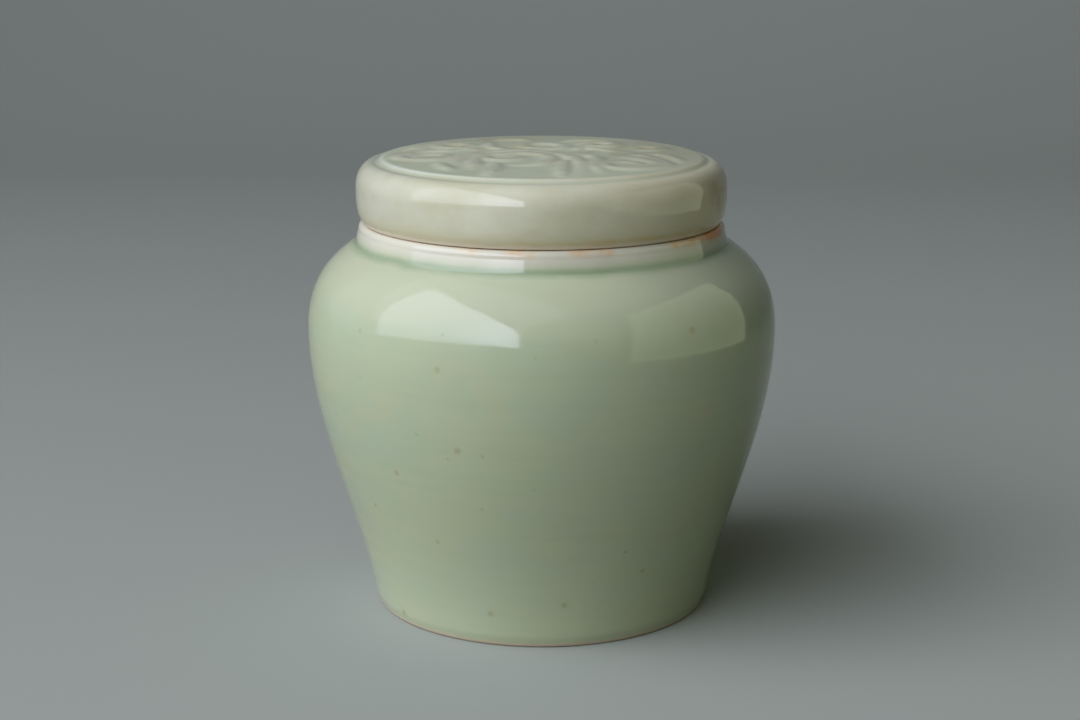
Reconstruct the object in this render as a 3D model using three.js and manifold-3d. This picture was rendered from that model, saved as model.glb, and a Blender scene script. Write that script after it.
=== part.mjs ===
// A glazed porcelain tea canister: a turned jar with a stepped neck, and a cap lid that lifts off.
// Millimetres, +Z up. The origin is the centre of the circle that the jar stands on.
import * as THREE from "three";
import { mergeVertices } from "three/addons/utils/BufferGeometryUtils.js";
import Module from "manifold-3d";

const wasm = await Module();
wasm.setup();

// Jar body, measured on the outside
const footRadius = 33.2; // the edge that meets the table
const footBevel = 0.8; // how far the turned bevel above the foot steps out
const footBevelHeight = 2.2;
const bellyRadius = 46.65; // the widest circle
const bellyHeight = 56.4;
const shoulderRise = 17.2; // from the belly up to the collar
const neckRadius = 36.75; // where the shoulder runs into the collar
const collarHeight = 3.9; // the pale band below the lid
const collarTaper = 0.4; // how far the collar narrows on its way up
const collarEdgeRound = 1.3;

// How far the two curves of the body keep their direction at each end
const footLift = 16.6; // upwards from the bevel
const footFlare = 0.184; // millimetres out for each millimetre up
const bellyLiftBelow = 19;
const bellyLiftAbove = 9;
const shoulderReach = 5.95; // outwards from the neck
const shoulderDrop = 3.55; // and downwards

// Jar body, inside and underneath
const wallThickness = 4;
const floorThickness = 4.6;
const floorFillet = 7;
const throatLength = 3; // the height in which the throat turns upright
const footRecess = 1.8; // depth of the hollow under the base
const footRingWidth = 5.2;
const footRecessFillet = 1.2;

// The upright rim inside the lid, and the fit of the lid on it
const rimThickness = 2.8;
const rimHeight = 6.4;
const rimRound = 1.1;
const lidClearance = 0.5; // all round, between the rim and the skirt
const seatGap = 0.3; // between the ledge and the lid's lower edge
const rimTopGap = 1.5; // between the rim and the lid's ceiling

// Lid
const lidInset = 0.75; // how far its lower edge stands in from the collar's side
const skirtThickness = 3.4;
const skirtEdgeRound = 0.5;
const lidTopThickness = 3.95;
const lidInnerFillet = 1.6;
const lidBulge = 1.1; // how far its side stands out past its lower edge
const lidLowerRound = 5.1; // height of the round under the bulge
const lidUpperRound = 4.8; // height of the round above the bulge
const lidUpperReach = 3.45; // width of that round
const grooveWidth = 0.75; // the shallow line round the top
const grooveDepth = 0.12;
const medallionRound = 2.1; // width of the rounded edge inside the line
const medallionHeight = 0.48; // how far that edge rises
const domeRise = 0.35; // from there up to the centre
const scrollFoot = 2.8; // width of a moulded ridge where it rises from the field
const scrollFlank = 1.5; // where its flanks turn in towards the crest
const scrollFullness = 0.65; // share of its height at which they turn in
const scrollHeight = 0.36;
const scrollRoot = 0.4; // how deep it is set into the lid
const scrollEye = 0.9; // radius in which a curl ends
const scrollTaper = 4; // length in which a ridge swells from its tip
const scrollTip = 0.3; // share of its width and height left at the tip

// Smoothness of the turned surfaces
const turnSteps = 64;
const curveSteps = 8;
const filletSteps = 4;
const roundSteps = 2;
const domeSteps = 2;
const scrollStep = 2.3; // length of one straight piece of a ridge

// Places that follow from the sizes above
const shoulderHeight = bellyHeight + shoulderRise;
const ledgeHeight = shoulderHeight + collarHeight;
const collarTopRadius = neckRadius - collarTaper;
const lidFootRadius = collarTopRadius - lidInset;
const skirtInnerRadius = lidFootRadius - skirtThickness;
const rimRadius = skirtInnerRadius - lidClearance;
const mouthRadius = rimRadius - rimThickness;
const rimTop = ledgeHeight + rimHeight;
const floorTop = footRecess + floorThickness;
const lidBottom = ledgeHeight + seatGap;
const lidCeiling = rimTop + rimTopGap;
const lidTop = lidCeiling + lidTopThickness;
const lidRadius = lidFootRadius + lidBulge;
const grooveRadius = lidRadius - lidUpperReach;
const medallionFoot = grooveRadius - grooveWidth;
const fieldRadius = medallionFoot - medallionRound;
const fieldHeight = lidTop + medallionHeight;

const at = (radius, height) => new THREE.Vector2(radius, height);

// A corner rounded by one curve, which leaves start and reaches end along the corner's two sides.
function rounded(start, corner, end, steps = roundSteps) {
  return new THREE.QuadraticBezierCurve(start, corner, end).getPoints(steps);
}

// The outside of the jar, from the bevel above its foot to the bottom of its collar.
function bodyOutline() {
  const bevelTop = at(footRadius + footBevel, footBevelHeight);
  const belly = at(bellyRadius, bellyHeight);
  const flank = new THREE.CubicBezierCurve(
    bevelTop,
    at(bevelTop.x + footFlare * footLift, bevelTop.y + footLift),
    at(bellyRadius, bellyHeight - bellyLiftBelow),
    belly,
  );
  const shoulder = new THREE.CubicBezierCurve(
    belly,
    at(bellyRadius, bellyHeight + bellyLiftAbove),
    at(neckRadius + shoulderReach, shoulderHeight - shoulderDrop),
    at(neckRadius, shoulderHeight),
  );
  return [...flank.getPoints(curveSteps), ...shoulder.getPoints(curveSteps).slice(1)];
}

// The same line moved inwards by a distance, square to itself.
function movedInwards(outline, distance) {
  return outline.map((point, i) => {
    const before = outline[Math.max(i - 1, 0)];
    const after = outline[Math.min(i + 1, outline.length - 1)];
    const along = after.clone().sub(before).normalize();
    return at(point.x - along.y * distance, point.y + along.x * distance);
  });
}

// The part of a rising line that lies above a height, with a new end at that height.
function cutBelow(outline, height) {
  const first = outline.findIndex((point) => point.y > height);
  const above = outline[first];
  const below = outline[first - 1];
  const share = (height - below.y) / (above.y - below.y);
  return [below.clone().lerp(above, share), ...outline.slice(first)];
}

// The foot ring and the shallow hollow under the base, from the axis outwards.
function footOutline() {
  const ringInner = footRadius - footRingWidth;
  return [
    at(0, footRecess),
    ...rounded(at(ringInner - footRecessFillet, footRecess), at(ringInner, footRecess), at(ringInner, 0)),
    at(footRadius, 0),
  ];
}

// The top edge of the collar, its flat ledge and the upright rim, ending inside the mouth.
function neckOutline() {
  return [
    ...rounded(
      at(collarTopRadius, ledgeHeight - collarEdgeRound),
      at(collarTopRadius, ledgeHeight),
      at(collarTopRadius - collarEdgeRound, ledgeHeight),
    ),
    at(rimRadius, ledgeHeight),
    ...rounded(at(rimRadius, rimTop - rimRound), at(rimRadius, rimTop), at(rimRadius - rimRound, rimTop)),
    ...rounded(
      at(mouthRadius + rimRound, rimTop),
      at(mouthRadius, rimTop),
      at(mouthRadius, rimTop - rimRound),
    ),
  ];
}

// The inside of the jar, from the throat down to the middle of its floor.
function cavityOutline(body) {
  const inside = cutBelow(movedInwards(body, wallThickness), floorTop + floorFillet).reverse();
  const [throat, below] = inside;
  const slope = (throat.y - below.y) / (below.x - throat.x);
  const throatCorner = at(mouthRadius, throat.y + slope * (throat.x - mouthRadius));
  const heel = inside[inside.length - 1];
  return [
    ...rounded(at(mouthRadius, throatCorner.y + throatLength), throatCorner, throat, filletSteps),
    ...inside.slice(1),
    ...rounded(heel, at(heel.x, floorTop), at(heel.x - floorFillet, floorTop), filletSteps).slice(1),
    at(0, floorTop),
  ];
}

function jarOutline() {
  const body = bodyOutline();
  return [...footOutline(), ...body, ...neckOutline(), ...cavityOutline(body)];
}

// The lid, from the middle of its ceiling round its skirt and side to the groove on its top.
function capOutline() {
  const sideFoot = lidBottom + skirtEdgeRound;
  return [
    at(0, lidCeiling),
    ...rounded(
      at(skirtInnerRadius - lidInnerFillet, lidCeiling),
      at(skirtInnerRadius, lidCeiling),
      at(skirtInnerRadius, lidCeiling - lidInnerFillet),
    ),
    at(skirtInnerRadius, sideFoot),
    at(skirtInnerRadius + skirtEdgeRound, lidBottom),
    at(lidFootRadius - skirtEdgeRound, lidBottom),
    ...rounded(
      at(lidFootRadius, sideFoot),
      at(lidRadius, sideFoot + lidBulge),
      at(lidRadius, sideFoot + lidLowerRound),
    ),
    ...new THREE.EllipseCurve(
      grooveRadius,
      lidTop - lidUpperRound,
      lidUpperReach,
      lidUpperRound,
      0,
      Math.PI / 2,
    ).getPoints(filletSteps),
  ];
}

// The height of the gently domed medallion at a distance from its centre.
function domeHeight(radius) {
  return fieldHeight + domeRise * (1 - (radius / fieldRadius) ** 2);
}

// The shallow groove and the medallion inside it, ending on the axis.
function topOutline() {
  const foot = at(medallionFoot, lidTop);
  const shoulder = at(medallionFoot - medallionRound / 3, fieldHeight);
  const outline = [
    at(grooveRadius - grooveWidth / 2, lidTop - grooveDepth),
    ...rounded(foot, shoulder, at(fieldRadius, fieldHeight), filletSteps),
  ];
  for (let i = 1; i <= domeSteps; i++) {
    const radius = fieldRadius * (1 - i / domeSteps);
    outline.push(at(radius, domeHeight(radius)));
  }
  return outline;
}

// A solid turned from an outline of radii and heights, standing on +Z.
function turned(outline) {
  return new THREE.LatheGeometry(outline, turnSteps).rotateX(Math.PI / 2);
}

// The points of a curl that winds inwards to its eye, from a radius and an angle in degrees.
function curl(x, y, radius, start, turns) {
  const count = Math.ceil(Math.abs(turns) * 8);
  return Array.from({ length: count + 1 }, (_, i) => {
    const angle = THREE.MathUtils.degToRad(start + (360 * turns * i) / count);
    const reach = THREE.MathUtils.lerp(radius, scrollEye, i / count);
    return [x + reach * Math.cos(angle), y + reach * Math.sin(angle)];
  });
}

// The moulded lines, for a field of this radius: x to the right and y to the back of the lid.
const scrollLayoutRadius = 30.4;
const scrollLines = [
  // The large scroll in the middle, with the arches over it and the stems below it
  [
    [-1.8, -15.7], [0.8, -13.4], [2, -8.4], [1.7, -3.2], [-0.4, 0.9], [-4.3, 2.6],
    ...curl(-7.2, -3.3, 4.6, 95, 1.5),
  ],
  [
    [-16.4, -12.7], [-16.8, -6], [-15.2, -0.7], [-12, 3.5], [-6.6, 6], [-2.2, 5.1],
    [1.8, 2.2], [5.2, -2.4], [7, -7.5], [7.9, -14], [7.6, -20.2], [6.8, -27.8],
  ],
  [[-9.2, -9.6], [-8.9, -15.4], [-9.4, -21.4], [-10.4, -26.6]],
  [[0.6, -16.4], [0.8, -20.7], [0.4, -28.6]],
  [[4.7, -7.1], [4.3, -12.4], [3.9, -18.9], [3.6, -28.4]],
  [[-12.2, -3.8], [-13, -8.8], [-12.8, -13.4], [-13.2, -18.5]],
  [[-19.8, -10.1], [-18.6, -14.6], [-17.2, -19.1]],
  // The right side
  [[8.6, 2.3], [10.6, -4.5], [10.2, -10.7], [10.4, -15.5], [11.6, -23.1]],
  [[13.6, -0.6], [17.4, -2.8], ...curl(16.4, -12.3, 6.6, 55, -1.55)],
  [[17.8, 2.2], [21, -2.3], [23, -7.9], [24, -13.6], [22.6, -17.5]],
  [[22, 3.5], [25, -1.2], [26.8, -6.4], [27.2, -8.8]],
  // The left side
  [[-13, 9.8], [-18, 7.8], [-23, 6.3], ...curl(-22.4, -0.9, 5.8, 130, 1.6)],
  [[-27.2, 8.8], [-24, 14.7], [-19.4, 20], [-14, 23.1]],
  // The back
  [[-11.6, 9.1], [-15.2, 10.2], ...curl(-17, 14.7, 3.9, -110, -1.3)],
  [[-10.8, 19.9], [-10.2, 12.8], [-8, 9.1], [-4.4, 8.3]],
  [[-5.8, 9], [-2.6, 7.5], ...curl(-0.3, 13.6, 5.3, -80, 1.5)],
  [[5.8, 6.9], [8.4, 10.6], [11, 9.6], [14, 6.6], [17.4, 5.6]],
  [[7.6, 14.9], ...curl(12.2, 16.4, 3.8, 160, -1.3)],
  [[16.4, 9.3], ...curl(21.4, 10.5, 3.7, 165, -1.3)],
  [[-9.4, 24.6], [-5.4, 25.1], [-2, 23.4]],
  [[4, 21.8], [8, 23.8], [12.4, 22.5], [17, 18.9]],
];

// The section of a ridge, across the line and up: from one root over the crest to the other.
const ridgeSection = [
  at(-scrollFoot / 2, -scrollRoot),
  at(-scrollFoot / 2, 0),
  at(-scrollFlank / 2, scrollHeight * scrollFullness),
  at(0, scrollHeight),
  at(scrollFlank / 2, scrollHeight * scrollFullness),
  at(scrollFoot / 2, 0),
  at(scrollFoot / 2, -scrollRoot),
];

// One moulded ridge: its section lofted along a line of points, thinner towards both tips.
function ridge(points) {
  const spread = fieldRadius / scrollLayoutRadius;
  const places = points.map(([x, y]) => new THREE.Vector3(x * spread, y * spread, 0));
  const line = new THREE.CatmullRomCurve3(places);
  const length = line.getLength();
  const steps = Math.ceil(length / scrollStep);
  const corners = ridgeSection.length;
  const positions = [];
  const index = [];
  for (let i = 0; i <= steps; i++) {
    const place = line.getPointAt(i / steps);
    const along = line.getTangentAt(i / steps);
    const fromTip = (Math.min(i, steps - i) * length) / steps;
    const swell = THREE.MathUtils.lerp(scrollTip, 1, THREE.MathUtils.smoothstep(fromTip, 0, scrollTaper));
    for (const corner of ridgeSection) {
      const across = corner.x * swell;
      const up = corner.y > 0 ? corner.y * swell : corner.y;
      const x = place.x - along.y * across;
      const y = place.y + along.x * across;
      positions.push(x, y, domeHeight(Math.hypot(x, y)) + up);
    }
  }
  for (let i = 0; i < steps; i++) {
    for (let j = 0; j < corners; j++) {
      const here = i * corners + j;
      const beside = i * corners + ((j + 1) % corners);
      index.push(here, here + corners, beside, beside, here + corners, beside + corners);
    }
  }
  const last = steps * corners;
  for (let j = 1; j < corners - 1; j++) index.push(0, j, j + 1, last, last + j + 1, last + j);
  const geometry = new THREE.BufferGeometry();
  geometry.setAttribute("position", new THREE.Float32BufferAttribute(positions, 3));
  geometry.setIndex(index);
  return geometry;
}

// A closed mesh as a solid that can be joined to others.
function solid(geometry) {
  geometry.deleteAttribute("normal");
  geometry.deleteAttribute("uv");
  const merged = mergeVertices(geometry);
  const corners = merged.index.array;
  const triangles = [];
  for (let i = 0; i < corners.length; i += 3) {
    const [a, b, c] = corners.slice(i, i + 3);
    if (a !== b && b !== c && c !== a) triangles.push(a, b, c);
  }
  const vertProperties = Float32Array.from(merged.attributes.position.array);
  const triVerts = Uint32Array.from(triangles);
  return new wasm.Manifold(new wasm.Mesh({ numProp: 3, vertProperties, triVerts }));
}

// The lid with its scrolls joined on.
function mouldedLid() {
  let lid = solid(turned([...capOutline(), ...topOutline()]));
  for (const points of scrollLines) lid = lid.add(solid(ridge(points)));
  const joined = lid.getMesh();
  const geometry = new THREE.BufferGeometry();
  geometry.setAttribute("position", new THREE.BufferAttribute(joined.vertProperties, joined.numProp));
  geometry.setIndex(new THREE.BufferAttribute(joined.triVerts, 1));
  geometry.computeVertexNormals();
  return geometry;
}

function named(name, geometry, material) {
  const mesh = new THREE.Mesh(geometry, material);
  mesh.name = name;
  return mesh;
}

const greenGlaze = new THREE.MeshStandardMaterial({ color: 0xafbfa4, roughness: 0.14, metalness: 0 });
const paleGlaze = new THREE.MeshStandardMaterial({ color: 0xb9bca8, roughness: 0.16, metalness: 0 });

const canister = new THREE.Group();
canister.add(named("jar", turned(jarOutline()), greenGlaze));
canister.add(named("lid", mouldedLid(), paleGlaze));

export default canister;
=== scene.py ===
"""A celadon tea canister: a turned jar with a pale collar, and a cap lid with moulded scrolls."""
import math

import bpy
import numpy as np
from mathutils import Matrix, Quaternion, Vector
from mathutils.geometry import interpolate_bezier


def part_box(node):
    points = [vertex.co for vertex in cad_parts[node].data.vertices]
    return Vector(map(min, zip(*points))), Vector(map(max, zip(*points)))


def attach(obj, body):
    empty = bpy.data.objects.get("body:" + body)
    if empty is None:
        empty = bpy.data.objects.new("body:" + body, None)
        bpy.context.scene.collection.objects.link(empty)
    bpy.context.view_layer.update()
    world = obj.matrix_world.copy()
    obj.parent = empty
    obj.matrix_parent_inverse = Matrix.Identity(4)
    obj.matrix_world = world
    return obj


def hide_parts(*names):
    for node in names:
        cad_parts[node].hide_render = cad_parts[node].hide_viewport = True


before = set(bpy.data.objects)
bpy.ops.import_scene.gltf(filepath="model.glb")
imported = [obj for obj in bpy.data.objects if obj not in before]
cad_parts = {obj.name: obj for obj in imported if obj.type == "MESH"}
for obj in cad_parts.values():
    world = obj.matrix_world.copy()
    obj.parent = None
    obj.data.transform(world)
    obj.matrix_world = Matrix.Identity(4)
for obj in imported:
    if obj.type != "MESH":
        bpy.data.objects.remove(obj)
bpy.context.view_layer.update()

# Sizes in millimetres, measured from the middle of the foot
MM = 0.001
JAR_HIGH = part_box("jar")[1]
LID_LOW, LID_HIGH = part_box("lid")
BELLY_RADIUS = JAR_HIGH.x / MM
RIM_TOP = JAR_HIGH.z / MM
LID_RADIUS = LID_HIGH.x / MM
LID_SETTLE = 0.18
LID_BOTTOM = LID_LOW.z / MM - LID_SETTLE

FOOT_RADIUS = 33.2
FOOT_RING_WIDTH = 5.2
FOOT_RECESS = 1.8
FOOT_EDGE_ROUND = 0.45
BEVEL_TOP = (34.0, 2.2)
BELLY_HEIGHT = 56.4
NECK_FOOT = (37.28, 73.28)
NECK_HEIGHT = 73.6
COLLAR_FOOT = (36.74, 74.45)
COLLAR_TOP_RADIUS = 36.3
LEDGE_HEIGHT = 77.5
COLLAR_EDGE_ROUND = 1.4
RIM_RADIUS = 31.7
MOUTH_RADIUS = 28.9
RIM_ROUND = 1.3
THROAT_HEIGHT = 76.4
LEDGE_FILLET = 0.5
WALL = 4.0
FLOOR_TOP = 6.4
FLOOR_FILLET = 7.0

LID_TOP = 89.35
LID_CEILING = 85.4
LID_FOOT_RADIUS = 35.6
SKIRT_INNER_RADIUS = 32.2
SKIRT_EDGE_ROUND = 0.5
SIDE_LOWER_ROUND = 5.1
SIDE_UPPER_ROUND = 4.8
SIDE_UPPER_REACH = 3.45
MEDALLION_ROUND = 2.35
MEDALLION_RISE = 0.78
VALLEY_RADIUS = LID_RADIUS - SIDE_UPPER_REACH
FIELD_RADIUS = VALLEY_RADIUS - MEDALLION_ROUND
FIELD_HEIGHT = LID_TOP + MEDALLION_RISE
DOME_RISE = 0.1
RELIEF_HEIGHT = 0.36
OUT_OF_ROUND = 0.05

# Fineness of the turned meshes
JAR_STEPS = 256
LID_STEPS = 512
FIELD_RINGS = 96
FLANK_POINTS = 90
SHOULDER_POINTS = 56
SHARP_CORNER = math.radians(50)

# The glaze and the clay, as they look in plain daylight, with painted light and shade among them
CELADON = (179, 190, 157)
BLUE_CELADON = (174, 188, 160)
BUFF_CELADON = (184, 188, 152)
DEEP_CELADON = (167, 181, 147)
# Painted bounce light: the paler green given to the jar's lower wall towards the foot
LOW_PAINTED_BOUNCE = (196, 206, 172)
SHOULDER_CELADON = (190, 194, 168)
POOLED_GREEN = (126, 152, 118)
THIN_WHITE = (209, 206, 190)
BARE_CLAY = (210, 193, 170)
FLASHED_CLAY = (178, 150, 112)
STAIN_ORANGE = (221, 175, 114)
STAIN_RUST = (230, 146, 72)
IRON_SPECK = (142, 128, 80)
GREEN_SPECK = (138, 160, 118)
LID_OLIVE = (194, 193, 164)
# Painted shade: a duller colour that darkens the brightly lit left side of the lid
LID_LEFT_PAINTED_SHADE = (190, 191, 171)
LID_WARM = (198, 189, 155)
LID_PALE = (208, 207, 186)
# Painted light: a pale colour that lightens the far right of the lid's side
LID_PAINTED_LIGHT = (238, 226, 196)
LID_FIELD = (212, 214, 187)
# Painted shade: the darker olive laid on the medallion's right and back
LID_FIELD_PAINTED_SHADE = (158, 158, 132)
LID_RECESS = (207, 216, 184)
LID_EDGE_OLIVE = (172, 162, 120)
LID_LOW_SIDE = (204, 197, 160)
LID_FRINGE = (206, 174, 116)
LID_STAIN = (164, 138, 90)
LID_POOL = (160, 177, 145)
# Wear and painted light: the pale edge of the medallion, brightest on the left
LID_WORN_AND_PAINTED_LIGHT = (224, 231, 214)
EDGE_CREAM = (216, 204, 180)

# The table, as it lights the canister and as it shows
TABLE_BOUNCE = (102, 105, 89)
TABLE_PALE = (158, 164, 158)


def linear(colour):
    """A colour of 0 to 255 steps as the linear values that a shader takes."""
    steps = [part / 255 for part in colour]
    values = [step / 12.92 if step <= 0.04045 else ((step + 0.055) / 1.055) ** 2.4 for step in steps]
    return (*values, 1.0)


# Outlines of the turned pieces, as radius and height

def curve(start, start_handle, end_handle, end, steps):
    """A stretch of outline between two points, with the pull of two handles."""
    ends = (start, start_handle, end_handle, end)
    corners = [Vector((radius, height, 0)) for radius, height in ends]
    return [(point.x, point.y) for point in interpolate_bezier(*corners, steps)]


def corner(start, point, end, steps=6):
    """A rounded corner between two sides that meet in a point."""
    pull = 2 / 3
    first = [near + (far - near) * pull for near, far in zip(start, point)]
    second = [near + (far - near) * pull for near, far in zip(end, point)]
    return curve(start, first, second, end, steps)


def straight(start, end, steps):
    """Evenly spaced points from start to end, both left out."""
    shares = [step / steps for step in range(1, steps)]
    return [tuple(near + (far - near) * share for near, far in zip(start, end)) for share in shares]


def throwing_ripple(height):
    """How far the potter's fingers left the wall in or out at a height."""
    slow_depth = 0.006
    slow_pitch = 0.62
    drift = 1.4
    drift_pitch = 7.0
    quick_depth = 0.003
    quick_pitch = 0.37
    quick_drift_pitch = 11.0
    slow = math.sin(height / slow_pitch + drift * math.sin(height / drift_pitch))
    quick = math.sin(height / quick_pitch + height / quick_drift_pitch)
    return slow_depth * slow + quick_depth * quick


def body_outline():
    """The flank and the shoulder, from the bevel to the bottom of the collar."""
    belly = (BELLY_RADIUS, BELLY_HEIGHT)
    bevel_handle = (37.05, 18.8)
    under_belly_handle = (BELLY_RADIUS, 37.4)
    over_belly_handle = (BELLY_RADIUS, 65.13)
    neck_handle = (42.93, 69.77)
    flank = curve(BEVEL_TOP, bevel_handle, under_belly_handle, belly, FLANK_POINTS)
    shoulder = curve(belly, over_belly_handle, neck_handle, NECK_FOOT, SHOULDER_POINTS)
    body = flank + shoulder[1:]
    fade_height = 4.0
    rippled = []
    for radius, height in body:
        near_end = min(height - BEVEL_TOP[1], NECK_FOOT[1] - height) / fade_height
        rippled.append((radius + throwing_ripple(height) * min(near_end, 1.0), height))
    return rippled


def cavity_outline():
    """The inside of the jar, from the throat to the middle of the floor."""
    inner_belly = BELLY_RADIUS - WALL
    throat_top = (MOUTH_RADIUS, THROAT_HEIGHT)
    under_neck = (34.8, 70.1)
    belly = (inner_belly, BELLY_HEIGHT)
    heel = (32.6, FLOOR_TOP + FLOOR_FILLET)
    floor_corner = (31.0, FLOOR_TOP)
    floor_edge = (24.0, FLOOR_TOP)
    floor_middle = (0, FLOOR_TOP)
    throat = curve(throat_top, (MOUTH_RADIUS, 74.4), (30.9, 72.3), under_neck, 10)
    vault = curve(under_neck, (39.2, 67.6), (inner_belly, 63.0), belly, 24)
    side = curve(belly, (inner_belly, 41.0), (36.4, 27.0), heel, 36)
    floor = corner(heel, floor_corner, floor_edge, 14) + straight(floor_edge, floor_middle, 10)
    return throat + vault[1:] + side[1:] + floor[1:] + [floor_middle]


def foot_outline():
    """The hollow under the base and the ring that the jar stands on."""
    recess_fillet = 1.4
    toe_flare = 0.2
    edge = FOOT_EDGE_ROUND
    ring_inner = FOOT_RADIUS - FOOT_RING_WIDTH
    middle = (0, FOOT_RECESS)
    recess_end = (ring_inner - recess_fillet, FOOT_RECESS)
    toe = (FOOT_RADIUS + toe_flare, edge)
    return (
        [middle]
        + straight(middle, recess_end, 10)
        + corner(recess_end, (ring_inner, FOOT_RECESS), (ring_inner, edge))
        + corner((ring_inner, edge), (ring_inner, 0), (ring_inner + edge, 0), 4)[1:]
        + straight((ring_inner + edge, 0), (FOOT_RADIUS - edge, 0), 5)
        + corner((FOOT_RADIUS - edge, 0), (FOOT_RADIUS, 0), toe, 5)
        + straight(toe, BEVEL_TOP, 4)
    )


def neck_outline():
    """The collar, the ledge under the lid and the upright rim."""
    neck_handle = (36.97, 73.46)
    collar_handle = (36.87, 73.98)
    collar_edge = (COLLAR_TOP_RADIUS, LEDGE_HEIGHT - COLLAR_EDGE_ROUND)
    collar_corner = (COLLAR_TOP_RADIUS, LEDGE_HEIGHT)
    ledge_start = (COLLAR_TOP_RADIUS - COLLAR_EDGE_ROUND, LEDGE_HEIGHT)
    ledge_end = (RIM_RADIUS + LEDGE_FILLET, LEDGE_HEIGHT)
    rim_foot = (RIM_RADIUS, LEDGE_HEIGHT + LEDGE_FILLET)
    rim_outside = (RIM_RADIUS, RIM_TOP - RIM_ROUND)
    rim_inside = (MOUTH_RADIUS, RIM_TOP - RIM_ROUND)
    return (
        curve(NECK_FOOT, neck_handle, collar_handle, COLLAR_FOOT, 9)[1:]
        + straight(COLLAR_FOOT, collar_edge, 6)
        + corner(collar_edge, collar_corner, ledge_start, 9)
        + straight(ledge_start, ledge_end, 4)
        + corner(ledge_end, (RIM_RADIUS, LEDGE_HEIGHT), rim_foot, 4)
        + straight(rim_foot, rim_outside, 8)
        + corner(rim_outside, (RIM_RADIUS, RIM_TOP), (RIM_RADIUS - RIM_ROUND, RIM_TOP))
        + corner((MOUTH_RADIUS + RIM_ROUND, RIM_TOP), (MOUTH_RADIUS, RIM_TOP), rim_inside)
        + straight(rim_inside, (MOUTH_RADIUS, THROAT_HEIGHT), 8)
    )


def lid_underside():
    """The lid from the middle of its ceiling round its skirt to the foot of its side."""
    inner = SKIRT_INNER_RADIUS
    fillet = 1.6
    lip_slope = 0.05
    foot = LID_BOTTOM + SKIRT_EDGE_ROUND
    lip = LID_FOOT_RADIUS - SKIRT_EDGE_ROUND
    middle = (0, LID_CEILING)
    ceiling_edge = (inner - fillet, LID_CEILING)
    skirt_top = (inner, LID_CEILING - fillet)
    skirt_edge = (inner + SKIRT_EDGE_ROUND, LID_BOTTOM)
    lip_corner = (LID_FOOT_RADIUS - lip_slope, LID_BOTTOM)
    return (
        [middle]
        + straight(middle, ceiling_edge, 10)
        + corner(ceiling_edge, (inner, LID_CEILING), skirt_top)
        + straight(skirt_top, (inner, foot), 5)
        + corner((inner, foot), (inner, LID_BOTTOM), skirt_edge, 4)
        + straight(skirt_edge, (lip, LID_BOTTOM), 4)
        + corner((lip, LID_BOTTOM), lip_corner, (LID_FOOT_RADIUS, foot), 5)
    )


def lid_side():
    """The lid's bulging side, from its foot to the valley round the top."""
    bulge_rise = 1.1
    arc_pull = 0.5523
    foot = LID_BOTTOM + SKIRT_EDGE_ROUND
    bulge = (LID_RADIUS, foot + bulge_rise)
    lower_end = (LID_RADIUS, foot + SIDE_LOWER_ROUND)
    upper_start = (LID_RADIUS, LID_TOP - SIDE_UPPER_ROUND)
    upper_handle = (LID_RADIUS, upper_start[1] + SIDE_UPPER_ROUND * arc_pull)
    valley_handle = (VALLEY_RADIUS + SIDE_UPPER_REACH * arc_pull, LID_TOP)
    return (
        corner((LID_FOOT_RADIUS, foot), bulge, lower_end, 10)[1:]
        + straight(lower_end, upper_start, 4)
        + curve(upper_start, upper_handle, valley_handle, (VALLEY_RADIUS, LID_TOP), 18)
    )


def lid_top():
    """The soft valley round the top and the gently domed medallion for the scrolls."""
    foot_reach = 0.4 * MEDALLION_ROUND
    foot_rise = 0.01
    crown_reach = 0.45 * MEDALLION_ROUND
    crown_drop = 0.03
    foot = (VALLEY_RADIUS - foot_reach, LID_TOP + foot_rise)
    crown = (VALLEY_RADIUS - crown_reach, FIELD_HEIGHT - crown_drop)
    edge = curve((VALLEY_RADIUS, LID_TOP), foot, crown, (FIELD_RADIUS, FIELD_HEIGHT), 22)
    radii = [FIELD_RADIUS * (1 - ring / FIELD_RINGS) for ring in range(1, FIELD_RINGS + 1)]
    dome = [(radius, FIELD_HEIGHT + DOME_RISE * (1 - (radius / FIELD_RADIUS) ** 2)) for radius in radii]
    return edge[1:] + dome


# Modelling

def turned_piece(name, outline, steps):
    """A piece turned from its outline: one vertex is drawn along it and the line is spun round the axis."""
    merge_gap = 0.004 * MM
    bpy.ops.object.select_all(action="DESELECT")
    bpy.ops.mesh.primitive_plane_add(size=MM)
    piece = bpy.context.object
    piece.name = name
    points = [Vector((radius, 0, height)) * MM for radius, height in outline]
    bpy.ops.object.mode_set(mode="EDIT")
    bpy.ops.mesh.select_all(action="SELECT")
    bpy.ops.mesh.merge(type="CENTER")
    bpy.ops.transform.translate(value=points[0])
    for before, after in zip(points, points[1:]):
        bpy.ops.mesh.extrude_vertices_move(TRANSFORM_OT_translate={"value": after - before})
    bpy.ops.mesh.select_all(action="SELECT")
    bpy.ops.mesh.spin(steps=steps, angle=2 * math.pi, center=(0, 0, 0), axis=(0, 0, 1))
    bpy.ops.mesh.select_all(action="SELECT")
    bpy.ops.mesh.remove_doubles(threshold=merge_gap)
    bpy.ops.mesh.normals_make_consistent(inside=False)
    bpy.ops.object.mode_set(mode="OBJECT")
    return piece


def vertex_places(piece):
    """The places of a piece's vertices, in millimetres, as rows of x, y and z."""
    places = np.empty(len(piece.data.vertices) * 3)
    piece.data.vertices.foreach_get("co", places)
    return places.reshape(-1, 3) / MM


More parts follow.
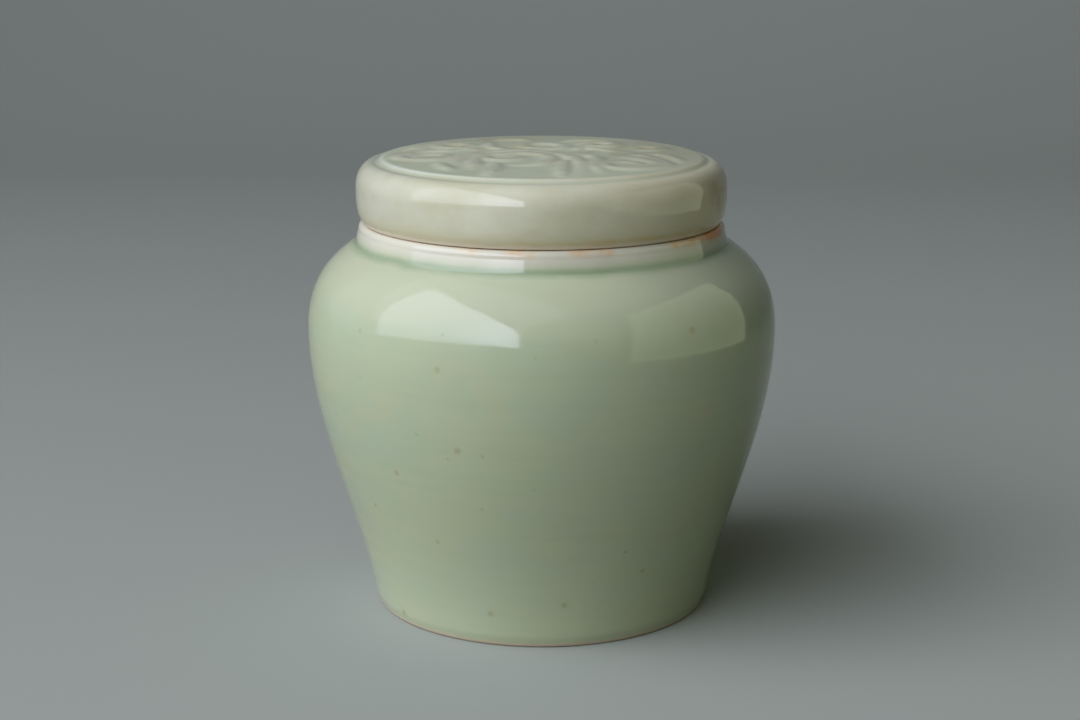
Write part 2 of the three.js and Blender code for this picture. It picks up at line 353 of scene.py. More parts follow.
def hand_wobble(piece, swing):
    """Leaves a turned piece a little out of round, as a hand-made one is."""
    places = vertex_places(piece)
    angle = np.arctan2(places[:, 0], -places[:, 1])
    height = places[:, 2]
    oval_turn = 0.7
    slow_twist = 16
    quick_twist = 9
    oval = np.sin(2 * angle + oval_turn)
    three_lobes = 0.5 * np.sin(3 * angle + height / slow_twist)
    five_lobes = 0.25 * np.sin(5 * angle - height / quick_twist)
    reach = 1 + swing * (oval + (three_lobes + five_lobes)) / BELLY_RADIUS
    places[:, 0] *= reach
    places[:, 1] *= reach
    piece.data.vertices.foreach_set("co", (places * MM).ravel())
    piece.data.update()


# Moulded scrolls on the lid, in millimetres from its middle, +x to the right and +y to the back

def stroke(knots, spacing=0.25):
    """A smooth line through a few points."""
    knots = np.array(knots, float)
    guides = np.vstack([2 * knots[0] - knots[1], knots, 2 * knots[-1] - knots[-2]])
    line = []
    for before, start, end, after in zip(guides[:-3], guides[1:-2], guides[2:-1], guides[3:]):
        count = max(2, int(np.hypot(*(end - start)) / spacing))
        share = np.linspace(0, 1, count, endpoint=False)[:, None]
        slope = end - before
        bend = 2 * before - 5 * start + 4 * end - after
        twist = 3 * start - before - 3 * end + after
        line.append(0.5 * (2 * start + slope * share + bend * share**2 + twist * share**3))
    return np.vstack(line + [knots[-1:]])


def curl(centre, radius, start, turns):
    """The points of a spiral that winds into its eye."""
    eye_radius = 1.3
    points_a_turn = 8
    count = math.ceil(abs(turns) * points_a_turn)
    knots = []
    for step in range(count + 1):
        share = step / count
        angle = math.radians(start + 360 * turns * share)
        reach = radius + (eye_radius - radius) * share
        knots.append((centre[0] + reach * math.cos(angle), centre[1] + reach * math.sin(angle)))
    return knots


# Each line with its half width
SCROLLS = [
    # The large scroll in the middle, with the arches over it and the stems below it
    (
        [
            (-7, -11), (-5.2, -12.8), (-3.2, -13.3), (-0.4, -12.2), (1.6, -8.6), (1.7, -3.2),
            (-0.4, 0.9), (-4.3, 2.6),
            *curl((-7.2, -3.3), 4.6, 95, 1.5),
        ],
        1.5,
    ),
    (
        [
            (-16.4, -12.7), (-16.8, -6), (-15.2, -0.7), (-12, 3.5), (-6.6, 6), (-2.2, 5.1),
            (1.8, 2.2), (5.2, -2.4), (7, -7.5), (7.9, -14), (7.6, -20.2), (6.8, -27.8),
        ],
        1.5,
    ),
    ([(-9.2, -9.6), (-8.9, -15.4), (-9.4, -21.4), (-10.4, -26.6)], 1.4),
    ([(4.7, -7.1), (4.3, -12.4), (3.9, -18.9), (3.6, -28.4)], 1.3),
    ([(-12.2, -3.8), (-13, -8.8), (-12.8, -13.4), (-13.2, -18.5)], 1.4),
    ([(-19.8, -10.1), (-18.6, -14.6), (-17.2, -19.1)], 1.3),
    # The right side
    ([(8.6, 2.3), (10.6, -4.5), (10.2, -10.7), (10.4, -15.5), (11.6, -23.1)], 1.4),
    ([(13.6, -0.6), (17.4, -2.8), *curl((16.4, -12.3), 6.6, 55, -1.55)], 1.5),
    ([(17.8, 2.2), (21, -2.3), (23, -7.9), (24, -13.6), (22.6, -17.5)], 1.3),
    ([(22, 3.5), (25, -1.2), (26.8, -6.4), (27.2, -8.8)], 1.2),
    # The left side
    ([(-13, 9.8), (-18, 7.8), (-23, 6.3), *curl((-22.4, -0.9), 5.8, 130, 1.6)], 1.5),
    ([(-27.2, 8.8), (-24, 14.7), (-19.4, 20), (-14, 23.1)], 1.3),
    # The back
    ([(-11.6, 9.1), (-15.2, 10.2), *curl((-17, 14.7), 3.9, -110, -1.3)], 1.4),
    ([(-10.8, 19.9), (-10.2, 12.8), (-8, 9.1), (-4.4, 8.3)], 1.3),
    ([(-5.8, 9), (-2.6, 7.5), *curl((-0.3, 13.6), 5.3, -80, 1.5)], 1.4),
    ([(5.8, 6.9), (8.4, 10.6), (11, 9.6), (14, 6.6), (17.4, 5.6)], 1.3),
    ([(7.6, 14.9), *curl((12.2, 16.4), 3.8, 160, -1.3)], 1.3),
    ([(16.4, 9.3), *curl((21.4, 10.5), 3.7, 165, -1.3)], 1.3),
    ([(-9.4, 24.6), (-5.4, 25.1), (-2, 23.4)], 1.2),
    ([(4, 21.8), (8, 23.8), (12.4, 22.5), (17, 18.9)], 1.2),
]


def brought_forward(knots):
    """The points moved to the front, most near the edge, so that each shows at its place from the front."""
    middle_step = 0.35
    edge_step = 1.8
    moved = []
    for x, y in knots:
        outwards = math.hypot(x, y) / FIELD_RADIUS
        moved.append((x, y - middle_step - edge_step * outwards**2))
    return moved


def scroll_height(x, y):
    """How high the mould raised the lid's field at each place, from 0 to 1."""
    fullness = 1.2
    tip_width = 0.6
    swell_start = 0.06
    swell_span = 0.9
    steepness = 2.4
    head = 0.15
    tail = 0.35
    front_tail = 0.3
    front = -20
    height = np.zeros(len(x))
    for knots, half_width in SCROLLS:
        line = stroke(brought_forward(knots))
        along = np.linspace(0, 1, len(line))
        swell = np.sin(np.pi * (swell_start + swell_span * along))
        width = fullness * half_width * (tip_width + (1 - tip_width) * swell)
        reach = 3 * half_width
        near = (x > line[:, 0].min() - reach) & (x < line[:, 0].max() + reach)
        near &= (y > line[:, 1].min() - reach) & (y < line[:, 1].max() + reach)
        gap = np.hypot(x[near][:, None] - line[:, 0], y[near][:, None] - line[:, 1]) / width
        line_tail = front_tail if line[-1, 1] < front else tail
        fade = np.clip(np.minimum(along / head, (1.02 - along) / line_tail), 0, 1)
        ridge = (np.exp(-(gap**steepness)) * fade).max(axis=1)
        height[near] += ridge * (1 - height[near])
    return height


def raise_scrolls(lid):
    """Presses the scrolls into the field of the lid's top, by weights that lift its vertices."""
    slack = 0.05
    margin_width = 2.0
    places = vertex_places(lid)
    radius = np.hypot(places[:, 0], places[:, 1])
    on_field = (places[:, 2] > FIELD_HEIGHT - slack) & (radius < FIELD_RADIUS)
    chosen = np.nonzero(on_field)[0]
    lift = scroll_height(places[chosen, 0], places[chosen, 1])
    margin = np.clip((FIELD_RADIUS - radius[chosen]) / margin_width, 0, 1)
    lift *= margin * margin * (3 - 2 * margin)
    group = lid.vertex_groups.new(name="scrolls")
    for index, weight in zip(chosen.tolist(), lift.tolist()):
        group.add([index], weight, "REPLACE")
    bpy.ops.object.select_all(action="DESELECT")
    lid.select_set(True)
    bpy.context.view_layer.objects.active = lid
    press = lid.modifiers.new("scrolls", "DISPLACE")
    press.direction = "Z"
    press.mid_level = 0.0
    press.strength = RELIEF_HEIGHT * MM
    press.vertex_group = group.name
    bpy.ops.object.modifier_apply(modifier=press.name)
    lid.vertex_groups.remove(lid.vertex_groups["scrolls"])


def smooth_finish(piece):
    """Smooth shading with the true corners kept."""
    bpy.ops.object.select_all(action="DESELECT")
    piece.select_set(True)
    bpy.context.view_layer.objects.active = piece
    bpy.ops.object.shade_smooth_by_angle(angle=SHARP_CORNER)


# Glazes, laid down with nodes that read places in millimetres

# Sockets of a Mix node that mixes colours
MIX_SHARE = 0
MIX_FIRST = 6
MIX_SECOND = 7
MIX_RESULT = 2


class Finish:
    """A material and the few kinds of node that the glazes are mixed from."""

    def __init__(self, name):
        self.material = bpy.data.materials.new(name)
        self.material.use_nodes = True
        self.tree = self.material.node_tree
        self.shader = self.tree.nodes["Principled BSDF"]
        place = self.node("ShaderNodeTexCoord").outputs["Object"]
        grow = self.node("ShaderNodeVectorMath", operation="SCALE")
        self.tree.links.new(place, grow.inputs[0])
        grow.inputs["Scale"].default_value = 1 / MM
        self.place = grow.outputs[0]
        split = self.node("ShaderNodeSeparateXYZ")
        self.tree.links.new(self.place, split.inputs[0])
        self.x, self.y, self.height = split.outputs
        squares = [self.sum("MULTIPLY", side, side) for side in (self.x, self.y)]
        self.radius = self.sum("SQRT", self.sum("ADD", *squares))
        self.angle = self.sum("DEGREES", self.sum("ARCTAN2", self.x, self.sum("MULTIPLY", self.y, -1.0)))

    def node(self, kind, **settings):
        """A new node with some of its settings."""
        made = self.tree.nodes.new(kind)
        for key, value in settings.items():
            setattr(made, key, value)
        return made

    def feed(self, socket, value):
        """Links a socket, or sets a plain number or colour on it."""
        if isinstance(value, bpy.types.NodeSocket):
            self.tree.links.new(value, socket)
        else:
            socket.default_value = value

    def sum(self, operation, first, second=0.0, third=0.0):
        """The result of a sum with one to three values."""
        made = self.node("ShaderNodeMath", operation=operation)
        for socket, value in zip(made.inputs, (first, second, third)):
            self.feed(socket, value)
        return made.outputs[0]

    def ramp(self, value, low, high, start=0.0, end=1.0):
        """A soft step from start, where the value is low, to end, where it is high."""
        made = self.node("ShaderNodeMapRange", interpolation_type="SMOOTHSTEP")
        self.feed(made.inputs["Value"], value)
        made.inputs["From Min"].default_value = low
        made.inputs["From Max"].default_value = high
        made.inputs["To Min"].default_value = start
        made.inputs["To Max"].default_value = end
        return made.outputs["Result"]

    def band(self, value, low, high, soft):
        """1 between low and high, with soft edges."""
        rise = self.ramp(value, low - soft, low + soft)
        fall = self.ramp(value, high - soft, high + soft, 1.0, 0.0)
        return self.sum("MULTIPLY", rise, fall)

    def noise(self, size, stretch=(1, 1, 1), detail=3.0, roughness=0.5, offset=0.0):
        """Cloudy variation from 0 to 1, with patches of about a size."""
        turn = self.node("ShaderNodeMapping")
        self.feed(turn.inputs["Vector"], self.place)
        turn.inputs["Location"].default_value = (offset, offset, offset)
        turn.inputs["Scale"].default_value = [part / size for part in stretch]
        made = self.node("ShaderNodeTexNoise")
        self.feed(made.inputs["Vector"], turn.outputs[0])
        made.inputs["Scale"].default_value = 1.0
        made.inputs["Detail"].default_value = detail
        made.inputs["Roughness"].default_value = roughness
        return made.outputs["Fac"]

    def mix(self, share, first, second):
        """Two colours mixed by a share."""
        made = self.node("ShaderNodeMix", data_type="RGBA")
        self.feed(made.inputs[MIX_SHARE], share)
        self.feed(made.inputs[MIX_FIRST], first)
        self.feed(made.inputs[MIX_SECOND], second)
        return made.outputs[MIX_RESULT]

    def largest(self, values):
        """The largest of several values."""
        best = values[0]
        for value in values[1:]:
            best = self.sum("MAXIMUM", best, value)
        return best

    def near_angle(self, angle, spread, strength):
        """A strength round one side of the piece, fading out over a spread of degrees."""
        away = self.sum("ABSOLUTE", self.sum("SUBTRACT", self.angle, angle))
        full_within = 0.1 * spread
        gone_beyond = 1.4 * spread
        return self.ramp(away, full_within, gone_beyond, strength, 0.0)

    def spots(self, places):
        """Soft round spots, each given as its place and its radius."""
        closeness = []
        for place, radius in places:
            gap = self.node("ShaderNodeVectorMath", operation="DISTANCE")
            self.feed(gap.inputs[0], self.place)
            gap.inputs[1].default_value = place
            full_within = 0.1 * radius
            closeness.append(self.ramp(gap.outputs["Value"], full_within, radius, 1.0, 0.0))
        return self.largest(closeness)

    def freckles(self, spacing, radius, share):
        """Small round freckles, strewn about a spacing apart, with a share of the places left empty."""
        strewn = self.node("ShaderNodeTexVoronoi")
        self.feed(strewn.inputs["Vector"], self.place)
        strewn.inputs["Scale"].default_value = 1 / spacing
        full_within = 0.4 * radius
        close = self.ramp(strewn.outputs["Distance"], full_within, radius, 1.0, 0.0)
        lot = self.node("ShaderNodeSeparateColor")
        self.feed(lot.inputs[0], strewn.outputs["Color"])
        return self.sum("MULTIPLY", close, self.ramp(lot.outputs[0], share, share + 0.05))

    def bump(self, height, depth):
        """A fine unevenness of the surface, with its depth in millimetres."""
        made = self.node("ShaderNodeBump")
        made.inputs["Strength"].default_value = 1.0
        made.inputs["Distance"].default_value = depth * MM
        self.feed(made.inputs["Height"], height)
        self.feed(self.shader.inputs["Normal"], made.outputs[0])

    def gloss(self, colour, roughness):
        """Gives the shader its colour and the gloss and depth of fired glaze."""
        bending = 1.52
        depth_share = 0.12
        depth_tint = (1.0, 1.15, 0.9)
        depth = 1.2 * MM
        self.feed(self.shader.inputs["Base Color"], colour)
        self.feed(self.shader.inputs["Roughness"], roughness)
        self.shader.inputs["IOR"].default_value = bending
        self.shader.inputs["Subsurface Weight"].default_value = depth_share
        self.shader.inputs["Subsurface Radius"].default_value = depth_tint
        self.shader.inputs["Subsurface Scale"].default_value = depth


# Iron specks on the jar: degrees round from the front, height and radius
SPECKS = [
    (-53, 2.4, 0.8), (-16, 7.0, 0.75), (7, 9.3, 0.8), (31, 15, 0.6), (24, 20, 0.5), (-30, 21.5, 0.6),
    (-52, 26, 0.6), (-39, 35, 0.8), (-20, 41.6, 0.9), (-14, 41, 0.5), (-24, 57, 0.8), (37, 63, 0.9),
    (96, 31, 0.7), (128, 49, 0.8), (163, 12, 0.7), (205, 38, 0.8), (240, 22, 0.6), (281, 52, 0.7),
]

# Tea and iron stains on the collar: degrees round from the front, spread and strength
STAINS = [
    (-22, 6, 0.42), (-6, 7, 0.5), (12, 5, 0.7), (19, 4, 0.6), (46, 6, 0.75), (53, 9, 0.95),
    (68, 9, 2.6), (86, 12, 1.8), (-130, 12, 0.5), (150, 9, 0.45),
]

# Brown stains on the right of the lid's side: place and radius
LID_STAINS = [((33.0, -15.4, 85.6), 5.0), ((34.2, -13.4, 83.6), 4.5)]


def outside_place(angle, height, body):
    """A place on the jar's outside, from degrees round from the front and a height."""
    heights = [point[1] for point in body]
    radii = [point[0] for point in body]
    radius = float(np.interp(height, heights, radii))
    turn = math.radians(angle)
    return (radius * math.sin(turn), -radius * math.cos(turn), height)


def speck_places(reach):
    """The iron specks, each as its place on the jar and its radius times a reach."""
    body = body_outline()
    return [(outside_place(angle, height, body), reach * radius) for angle, height, radius in SPECKS]


def green_ground(coat, level):
    """The cloudy green of the jar's wall, paler on the shoulder, and paler towards the foot as painted bounce
    light from the table.
    """
    shoulder_low, shoulder_high = 59.0, 71.0
    bounce_low, bounce_high = 3.0, 28.0
    clouds = coat.noise(22.0, stretch=(1, 1, 1.5), detail=2.0, offset=7.0)
    patches = coat.noise(11.0, stretch=(1, 1, 1.3), offset=3.0)
    streaks = coat.noise(30.0, stretch=(1, 1, 16), detail=4.0, roughness=0.6)
    colour = coat.mix(coat.ramp(clouds, 0.35, 0.65), linear(CELADON), linear(BLUE_CELADON))
    colour = coat.mix(coat.ramp(patches, 0.45, 0.75, 0.0, 0.6), colour, linear(BUFF_CELADON))
    colour = coat.mix(coat.ramp(streaks, 0.4, 0.75, 0.0, 0.28), colour, linear(DEEP_CELADON))
    shoulder = coat.ramp(level, shoulder_low, shoulder_high, 0.0, 0.75)
    colour = coat.mix(shoulder, colour, linear(SHOULDER_CELADON))
    # Painted bounce light: the lower wall is made paler towards the foot
    return coat.mix(coat.ramp(level, bounce_low, bounce_high, 0.45, 0.0), colour, linear(LOW_PAINTED_BOUNCE))


def speckled(coat, colour):
    """Iron specks with buff halos, and fine green freckles, on a colour."""
    halo_reach = 2.6
    speck_reach = 1.25
    halos = coat.spots(speck_places(halo_reach))
    colour = coat.mix(coat.sum("MULTIPLY", halos, 0.35), colour, linear(BUFF_CELADON))
    specks = coat.spots(speck_places(speck_reach))
    ragged = coat.ramp(coat.noise(0.7, detail=2.0), 0.3, 0.6, 0.2, 0.45)
    colour = coat.mix(coat.sum("MULTIPLY", specks, ragged), colour, linear(IRON_SPECK))
    freckles = coat.freckles(spacing=5.5, radius=0.11, share=0.72)
    return coat.mix(coat.sum("MULTIPLY", freckles, 0.35), colour, linear(GREEN_SPECK))


def stained(coat, colour, collar_top):
    """Orange and rusty blotches along the top of the collar, on a colour."""
    marks = coat.largest([coat.near_angle(*stain) for stain in STAINS])
    blotch = coat.ramp(coat.noise(1.7, roughness=0.6, offset=3.0), 0.3, 0.7, 0.4, 1.0)
    marks = coat.sum("MULTIPLY", marks, blotch)
    marks = coat.sum("MULTIPLY", marks, collar_top)
    colour = coat.mix(coat.ramp(marks, 0.05, 0.7, 0.0, 0.8), colour, linear(STAIN_ORANGE))
    return coat.mix(coat.ramp(marks, 0.75, 1.3, 0.0, 0.8), colour, linear(STAIN_RUST))


def celadon_glaze():
    """The jar's green glaze: pooled at the neck, thin and white on the collar, bare at the foot's edge."""
    coat = Finish("celadon glaze")
    uneven = coat.sum("SUBTRACT", coat.noise(6.0), 0.5)
    level = coat.sum("MULTIPLY_ADD", uneven, 0.7, coat.height)
    colour = speckled(coat, green_ground(coat, level))
    outside = coat.ramp(coat.radius, RIM_RADIUS + 0.8, RIM_RADIUS + 1.6)
    pool = coat.sum("MULTIPLY", coat.band(level, NECK_HEIGHT - 0.5, NECK_HEIGHT + 0.6, 0.75), outside)
    colour = coat.mix(coat.sum("MULTIPLY", pool, 0.72), colour, linear(POOLED_GREEN))
    collar = coat.sum("MULTIPLY", coat.ramp(level, NECK_HEIGHT + 0.5, NECK_HEIGHT + 2.6), outside)
    colour = coat.mix(collar, colour, linear(THIN_WHITE))
    collar_top = coat.sum("MULTIPLY", coat.ramp(level, LEDGE_HEIGHT - 2.2, LEDGE_HEIGHT - 0.2), outside)
    colour = stained(coat, colour, collar_top)
    foot = coat.ramp(level, 0.4, 1.3, 1.0, 0.0)
    colour = coat.mix(coat.sum("MULTIPLY", foot, 0.9), colour, linear(BARE_CLAY))
    gloss = coat.ramp(coat.noise(9.0, offset=4.0), 0.3, 0.7, 0.06, 0.1)
    coat.gloss(colour, coat.sum("MULTIPLY_ADD", foot, 0.4, gloss))
    coat.bump(coat.noise(4.0, stretch=(1, 1, 1.5), detail=2.0), 0.02)
    return coat.material


def lid_ground(coat, level):
    """The cloudy grey-green of the lid, with painted shade on the left, warmer on the right, and painted
    light on the far right of its side.
    """
    clouds = coat.noise(15.0, stretch=(1, 1, 1.8), roughness=0.55)
    colour = coat.mix(coat.ramp(clouds, 0.3, 0.75), linear(LID_PALE), linear(LID_OLIVE))
    # Painted shade, darker towards the left where the lid is lit most
    colour = coat.mix(coat.ramp(coat.x, -34.0, -8.0, 0.7, 0.0), colour, linear(LID_LEFT_PAINTED_SHADE))
    colour = coat.mix(coat.ramp(coat.x, 4.0, 26.0, 0.0, 0.5), colour, linear(LID_WARM))
    mottle = coat.noise(5.0, stretch=(1, 1, 1.6), roughness=0.55, offset=17.0)
    colour = coat.mix(coat.ramp(mottle, 0.42, 0.7, 0.0, 0.13), colour, linear(LID_EDGE_OLIVE))
    # Painted light on the far right of the lid's side, below its top
    far_right = coat.ramp(coat.x, 24.0, 35.0, 0.0, 0.85)
    below_top = coat.ramp(coat.height, 85.5, 88.0, 1.0, 0.0)
    colour = coat.mix(coat.sum("MULTIPLY", far_right, below_top), colour, linear(LID_PAINTED_LIGHT))
    low_side = coat.ramp(level, LID_BOTTOM + 1.2, LID_BOTTOM + 4.5, 0.5, 0.0)
    return coat.mix(low_side, colour, linear(LID_LOW_SIDE))


def field_glaze(coat, colour, field):
    """The medallion's glaze: deeper between the scrolls, with painted shade to the right and back, tinged
    with tea.
    """
    colour = coat.mix(coat.sum("MULTIPLY", field, 0.7), colour, linear(LID_FIELD))
    outwards = coat.sum("DIVIDE", coat.radius, FIELD_RADIUS)
    fallen = coat.sum("MULTIPLY", coat.sum("MULTIPLY", outwards, outwards), DOME_RISE)
    raised = coat.sum("ADD", coat.height, fallen)
    low = FIELD_HEIGHT + DOME_RISE
    sunk = coat.ramp(raised, low, low + 0.8 * RELIEF_HEIGHT, 0.7, 0.0)
    colour = coat.mix(coat.sum("MULTIPLY", sunk, field), colour, linear(LID_RECESS))
    # Painted shade on the medallion, darker to the right and towards the back
    far_right = coat.sum("MULTIPLY", coat.ramp(coat.x, 4.0, 24.0), coat.ramp(coat.y, -28.0, 10.0, 0.35, 0.75))
    painted_shade = coat.sum("MAXIMUM", far_right, coat.ramp(coat.y, 8.0, 28.0, 0.0, 0.55))
    colour = coat.mix(coat.sum("MULTIPLY", painted_shade, field), colour, linear(LID_FIELD_PAINTED_SHADE))
    tea = coat.ramp(coat.noise(7.0, roughness=0.55, offset=11.0), 0.42, 0.68, 0.0, 0.45)
    tea = coat.sum("MULTIPLY", tea, coat.ramp(coat.y, -16.0, 4.0, 0.2, 1.0))
    return coat.mix(coat.sum("MULTIPLY", tea, field), colour, linear(LID_EDGE_OLIVE))


def lid_glaze():
    """The lid's thin grey-green glaze: pale with wear and painted light on the medallion's edge towards the
    left, cream along its lower edge.
    """
    coat = Finish("lid glaze")
    uneven = coat.sum("SUBTRACT", coat.noise(4.0), 0.5)
    level = coat.sum("MULTIPLY_ADD", uneven, 0.9, coat.height)
    upper = coat.ramp(coat.height, LID_CEILING + 1.0, LID_CEILING + 1.5)
    field = coat.sum("MULTIPLY", coat.ramp(coat.radius, FIELD_RADIUS, FIELD_RADIUS + 0.8, 1.0, 0.0), upper)
    colour = field_glaze(coat, lid_ground(coat, level), field)
    # Wear with painted light: the medallion's edge paler on the left, fading out to the right
    worn_and_painted_light = coat.sum("MULTIPLY", coat.band(coat.radius, FIELD_RADIUS + 0.2, FIELD_RADIUS + 1.0, 0.5), upper)
    worn_and_painted_light = coat.sum("MULTIPLY", worn_and_painted_light, coat.ramp(coat.x, -26.0, 12.0, 0.85, 0.0))
    colour = coat.mix(worn_and_painted_light, colour, linear(LID_WORN_AND_PAINTED_LIGHT))
    pool = coat.sum("MULTIPLY", coat.band(coat.radius, VALLEY_RADIUS - 0.9, VALLEY_RADIUS - 0.2, 0.5), upper)
    colour = coat.mix(coat.sum("MULTIPLY", pool, 0.45), colour, linear(LID_POOL))
    stain = coat.spots(LID_STAINS)
    ragged = coat.ramp(coat.noise(3.0, detail=2.0, offset=5.0), 0.3, 0.65, 0.3, 0.8)
    stain = coat.sum("MULTIPLY", stain, ragged)
    colour = coat.mix(coat.sum("MULTIPLY", stain, 0.6), colour, linear(LID_STAIN))
    fringe = coat.band(level, LID_BOTTOM + 0.7, LID_BOTTOM + 1.7, 0.6)
    one_side = coat.ramp(coat.x, -26.0, 30.0, 0.15, 1.0)
    fringe = coat.sum("MULTIPLY", coat.sum("MULTIPLY", fringe, ragged), one_side)
    colour = coat.mix(fringe, colour, linear(LID_FRINGE))
    edge = coat.ramp(level, LID_BOTTOM + 0.4, LID_BOTTOM + 1.5, 0.9, 0.0)
    colour = coat.mix(edge, colour, linear(EDGE_CREAM))
    gloss = coat.ramp(coat.noise(8.0, offset=2.0), 0.3, 0.7, 0.03, 0.055)
    coat.gloss(colour, coat.sum("MULTIPLY_ADD", edge, 0.35, coat.sum("MULTIPLY_ADD", field, 0.1, gloss)))
    coat.bump(coat.noise(3.0, stretch=(1, 1, 1.4), detail=2.0), 0.015)
    return coat.material


def bare_porcelain():
    """Unglazed fired clay, where the lid sits and the jar stands."""
    coat = Finish("bare porcelain")
    grain = coat.noise(0.6, detail=4.0, roughness=0.7)
    clouds = coat.noise(9.0, detail=3.0)
    colour = coat.mix(coat.ramp(clouds, 0.42, 0.75, 0.0, 0.7), linear(BARE_CLAY), linear(FLASHED_CLAY))
    coat.feed(coat.shader.inputs["Base Color"], colour)
    coat.feed(coat.shader.inputs["Roughness"], coat.ramp(grain, 0.3, 0.7, 0.55, 0.75))
    coat.bump(grain, 0.05)
    return coat.material


def floor_finish():
    """A plain pale table that throws back less light on the canister than it shows."""
    material = bpy.data.materials.new("pale table")
    material.use_nodes = True
    tree = material.node_tree
    shader = tree.nodes["Principled BSDF"]
    shader.inputs["Roughness"].default_value = 0.8
    path = tree.nodes.new("ShaderNodeLightPath")
    seen = tree.nodes.new("ShaderNodeMath")
    seen.operation = "MAXIMUM"
    tree.links.new(path.outputs["Is Camera Ray"], seen.inputs[0])
    mirrored = tree.nodes.new("ShaderNodeMath")
    mirrored.operation = "MAXIMUM"
    tree.links.new(path.outputs["Is Glossy Ray"], mirrored.inputs[0])
    tree.links.new(path.outputs["Is Transmission Ray"], mirrored.inputs[1])
    tree.links.new(mirrored.outputs[0], seen.inputs[1])
    tone = tree.nodes.new("ShaderNodeMix")
    tone.data_type = "RGBA"
    tree.links.new(seen.outputs[0], tone.inputs[MIX_SHARE])
    tone.inputs[MIX_FIRST].default_value = linear(TABLE_BOUNCE)
    tone.inputs[MIX_SECOND].default_value = linear(TABLE_PALE)
    tree.links.new(tone.outputs[MIX_RESULT], shader.inputs["Base Color"])
    return material


def paint(piece, glaze, bare, is_bare):
    """Glazes a piece, and leaves the faces bare that is_bare picks by their middle's radius and height."""
    piece.data.materials.clear()
    piece.data.materials.append(glaze)
    piece.data.materials.append(bare)
    for face in piece.data.polygons:
        middle = face.center / MM
        radius = math.hypot(middle.x, middle.y)
        face.material_index = 1 if is_bare(radius, middle.z) else 0


def jar_is_bare(radius, height):
    """The ring underneath, the ledge and the upright rim are wiped clean of glaze."""
    ring_top = 0.35
    ring_inner = FOOT_RADIUS - FOOT_RING_WIDTH - 0.1
    ledge_inner = RIM_RADIUS - 0.3 * RIM_ROUND
    ledge_outer = LID_FOOT_RADIUS - 0.5
    ledge_low = LEDGE_HEIGHT - 0.25
    on_ring = height < ring_top and radius > ring_inner
    on_ledge = height > ledge_low and ledge_inner < radius < ledge_outer
    return on_ring or on_ledge


def lid_is_bare(radius, height):
    """The lower edge of the skirt and its inside are wiped clean of glaze."""
    edge_top = LID_BOTTOM + 0.2
    skirt_top = LID_CEILING - 1.0
    skirt_face = SKIRT_INNER_RADIUS + 0.1
    on_edge = height < edge_top
    in_skirt = height < skirt_top and radius < skirt_face
    return on_edge or in_skirt


# The canister

def make_jar(bare):
    """The jar, glazed outside and in, with its bare ring, ledge and rim."""
    outline = foot_outline() + body_outline() + neck_outline() + cavity_outline()
    jar = turned_piece("turned_jar", outline, JAR_STEPS)
    hand_wobble(jar, OUT_OF_ROUND)
    smooth_finish(jar)
    paint(jar, celadon_glaze(), bare, jar_is_bare)
    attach(jar, "jar")
    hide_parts("jar")


def make_lid(bare):
    """The lid with its scrolls, glazed but for its skirt."""
    lid = turned_piece("cap_lid", lid_underside() + lid_side() + lid_top(), LID_STEPS)
    raise_scrolls(lid)
    hand_wobble(lid, OUT_OF_ROUND)
    smooth_finish(lid)
    paint(lid, lid_glaze(), bare, lid_is_bare)
    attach(lid, "lid")
    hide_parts("lid")


# The table, the light and the camera, in metres

def make_table():
    """A pale sweep of table that rises behind the canister."""
    half_width = 3.0
    middle_y = -1.8
    near_back_y = 1.0
    wall_height = 2.5
    sweep_radius = 0.6
    bpy.ops.object.select_all(action="DESELECT")
    bpy.ops.mesh.primitive_plane_add(size=2 * half_width, location=(0, middle_y, 0))
    table = bpy.context.object
    table.name = "table"
    bpy.ops.object.transform_apply(location=True, rotation=True, scale=True)
    bpy.ops.object.mode_set(mode="EDIT")
    bpy.ops.mesh.select_all(action="DESELECT")
    bpy.ops.object.mode_set(mode="OBJECT")
    for edge in table.data.edges:
        edge.select = all(table.data.vertices[index].co.y > near_back_y for index in edge.vertices)
    bpy.ops.object.mode_set(mode="EDIT")
    bpy.ops.mesh.select_mode(type="EDGE")
    bpy.ops.mesh.extrude_region_move(TRANSFORM_OT_translate={"value": (0, 0, wall_height)})
    bpy.ops.object.mode_set(mode="OBJECT")
    for edge in table.data.edges:
        ends = [table.data.vertices[index].co for index in edge.vertices]
        edge.select = all(end.y > near_back_y and end.z < wall_height / 2 for end in ends)
    bpy.ops.object.mode_set(mode="EDIT")
    bpy.ops.mesh.bevel(offset=sweep_radius, segments=16)
    bpy.ops.object.mode_set(mode="OBJECT")
    bpy.ops.object.shade_smooth_by_angle(angle=SHARP_CORNER)
    table.data.materials.clear()
    table.data.materials.append(floor_finish())


def softbox(name, middle, aim, size, glow, tint, lean=0.0):
    """A softbox that faces one way: its glow is the brightness of its face, its lean is in degrees."""
    bpy.ops.object.light_add(type="AREA", location=middle)
    box = bpy.context.object
    box.name = name
    facing = Vector(aim).to_track_quat("-Z", "Y")
    turned = Quaternion((0, 0, 1), math.radians(lean))
    box.rotation_euler = (facing @ turned).to_euler()
    box.visible_camera = False
    box.data.shape = "RECTANGLE"
    box.data.size, box.data.size_y = size
    box.data.energy = glow * math.pi * size[0] * size[1]
    box.data.color = tint
    return box


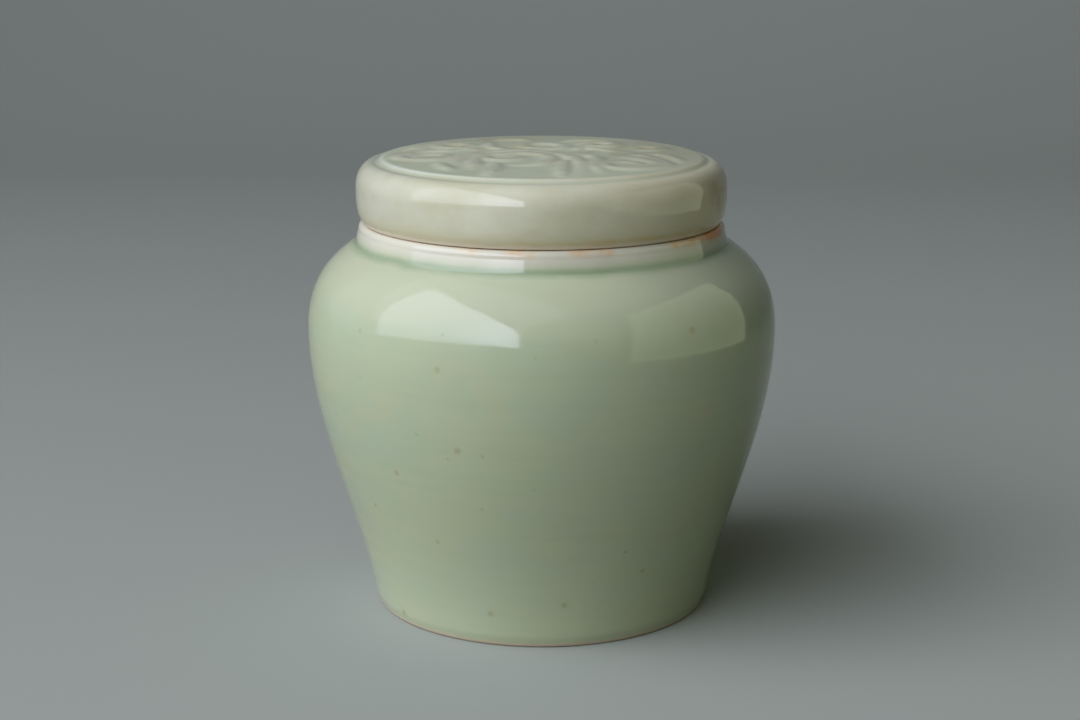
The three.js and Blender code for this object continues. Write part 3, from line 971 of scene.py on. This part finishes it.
def graded(box, first_end, last_end, span):
    """Makes a softbox change its brightness along its width, up to a share of it, and then stay even."""
    box.data.use_nodes = True
    tree = box.data.node_tree
    place = tree.nodes.new("ShaderNodeNewGeometry")
    along = tree.nodes.new("ShaderNodeSeparateXYZ")
    share = tree.nodes.new("ShaderNodeMapRange")
    share.inputs["From Max"].default_value = span
    share.inputs["To Min"].default_value = first_end
    share.inputs["To Max"].default_value = last_end
    tree.links.new(place.outputs["Parametric"], along.inputs["Vector"])
    tree.links.new(along.outputs["X"], share.inputs["Value"])
    tree.links.new(share.outputs["Result"], tree.nodes["Emission"].inputs["Strength"])


def make_light():
    """A long cool softbox on the left, dim ones beside and before it, and a warm board on the right.

    The window and the gleam show only in the gloss of the glaze, and the veil only lights.
    """
    cool = (0.97, 1.0, 1.09)
    sky_blue = (0.96, 1.0, 1.2)
    daylight = (0.98, 1.0, 1.1)
    warm = (0.92, 1.0, 0.64)
    to_right = (1, 0, 0)
    to_left = (-1, 0, 0)
    to_back = (0, 1, 0)
    slanting_down = (0.55, 0.35, -0.76)
    pane_size = (4.5, 1.36)
    window = softbox("left_window", (-0.85, -2.14, 1.3), to_right, pane_size, 1.95, sky_blue, lean=12.7)
    graded(window, first_end=0.8, last_end=2.0, span=0.5)
    window.visible_diffuse = False
    veil_size = (4.5, 1.5)
    veil = softbox("left_veil", (-0.87, -2.13, 1.365), to_right, veil_size, 3.58, daylight, lean=11)
    veil.visible_glossy = False
    softbox("left_wall", (-1.3, -0.9, 1.1), to_right, (4.0, 2.2), 0.25, cool)
    softbox("left_ceiling", (-0.8, -0.6, 1.25), slanting_down, (2.4, 1.8), 0.5, cool)
    softbox("front_room", (0.0, -2.2, 1.0), to_back, (3.5, 2.0), 0.12, warm)
    board_size = (0.69, 0.66)
    softbox("right_board", (0.45, -0.14, 0.219), to_left, board_size, 0.12, warm, lean=-13)
    gleam = softbox("right_gleam", (0.46, -0.14, 0.219), to_left, board_size, 0.62, warm, lean=-13)
    gleam.visible_diffuse = False
    world = bpy.data.worlds.new("soft room")
    world.use_nodes = True
    sky = world.node_tree.nodes["Background"]
    sky.inputs["Color"].default_value = (1.0, 0.98, 0.88, 1.0)
    sky.inputs["Strength"].default_value = 0.02
    bpy.context.scene.world = world


def make_camera():
    """The photograph's view: a long lens a little above the lid."""
    pitch_down = 13.35
    tilt = math.radians(90 - pitch_down)
    place = (-0.0003, -0.412, 0.1465)
    bpy.ops.object.camera_add(location=place, rotation=(tilt, 0, 0))
    camera = bpy.context.object
    camera.name = "photo_view"
    camera.data.lens = 70.0
    camera.data.sensor_width = 36.0
    camera.data.sensor_fit = "HORIZONTAL"
    camera.data.clip_start = 0.01
    bpy.context.scene.camera = camera


bare_clay = bare_porcelain()
make_jar(bare_clay)
make_lid(bare_clay)
make_table()
make_light()
make_camera()
bpy.context.scene.view_settings.view_transform = "Standard"
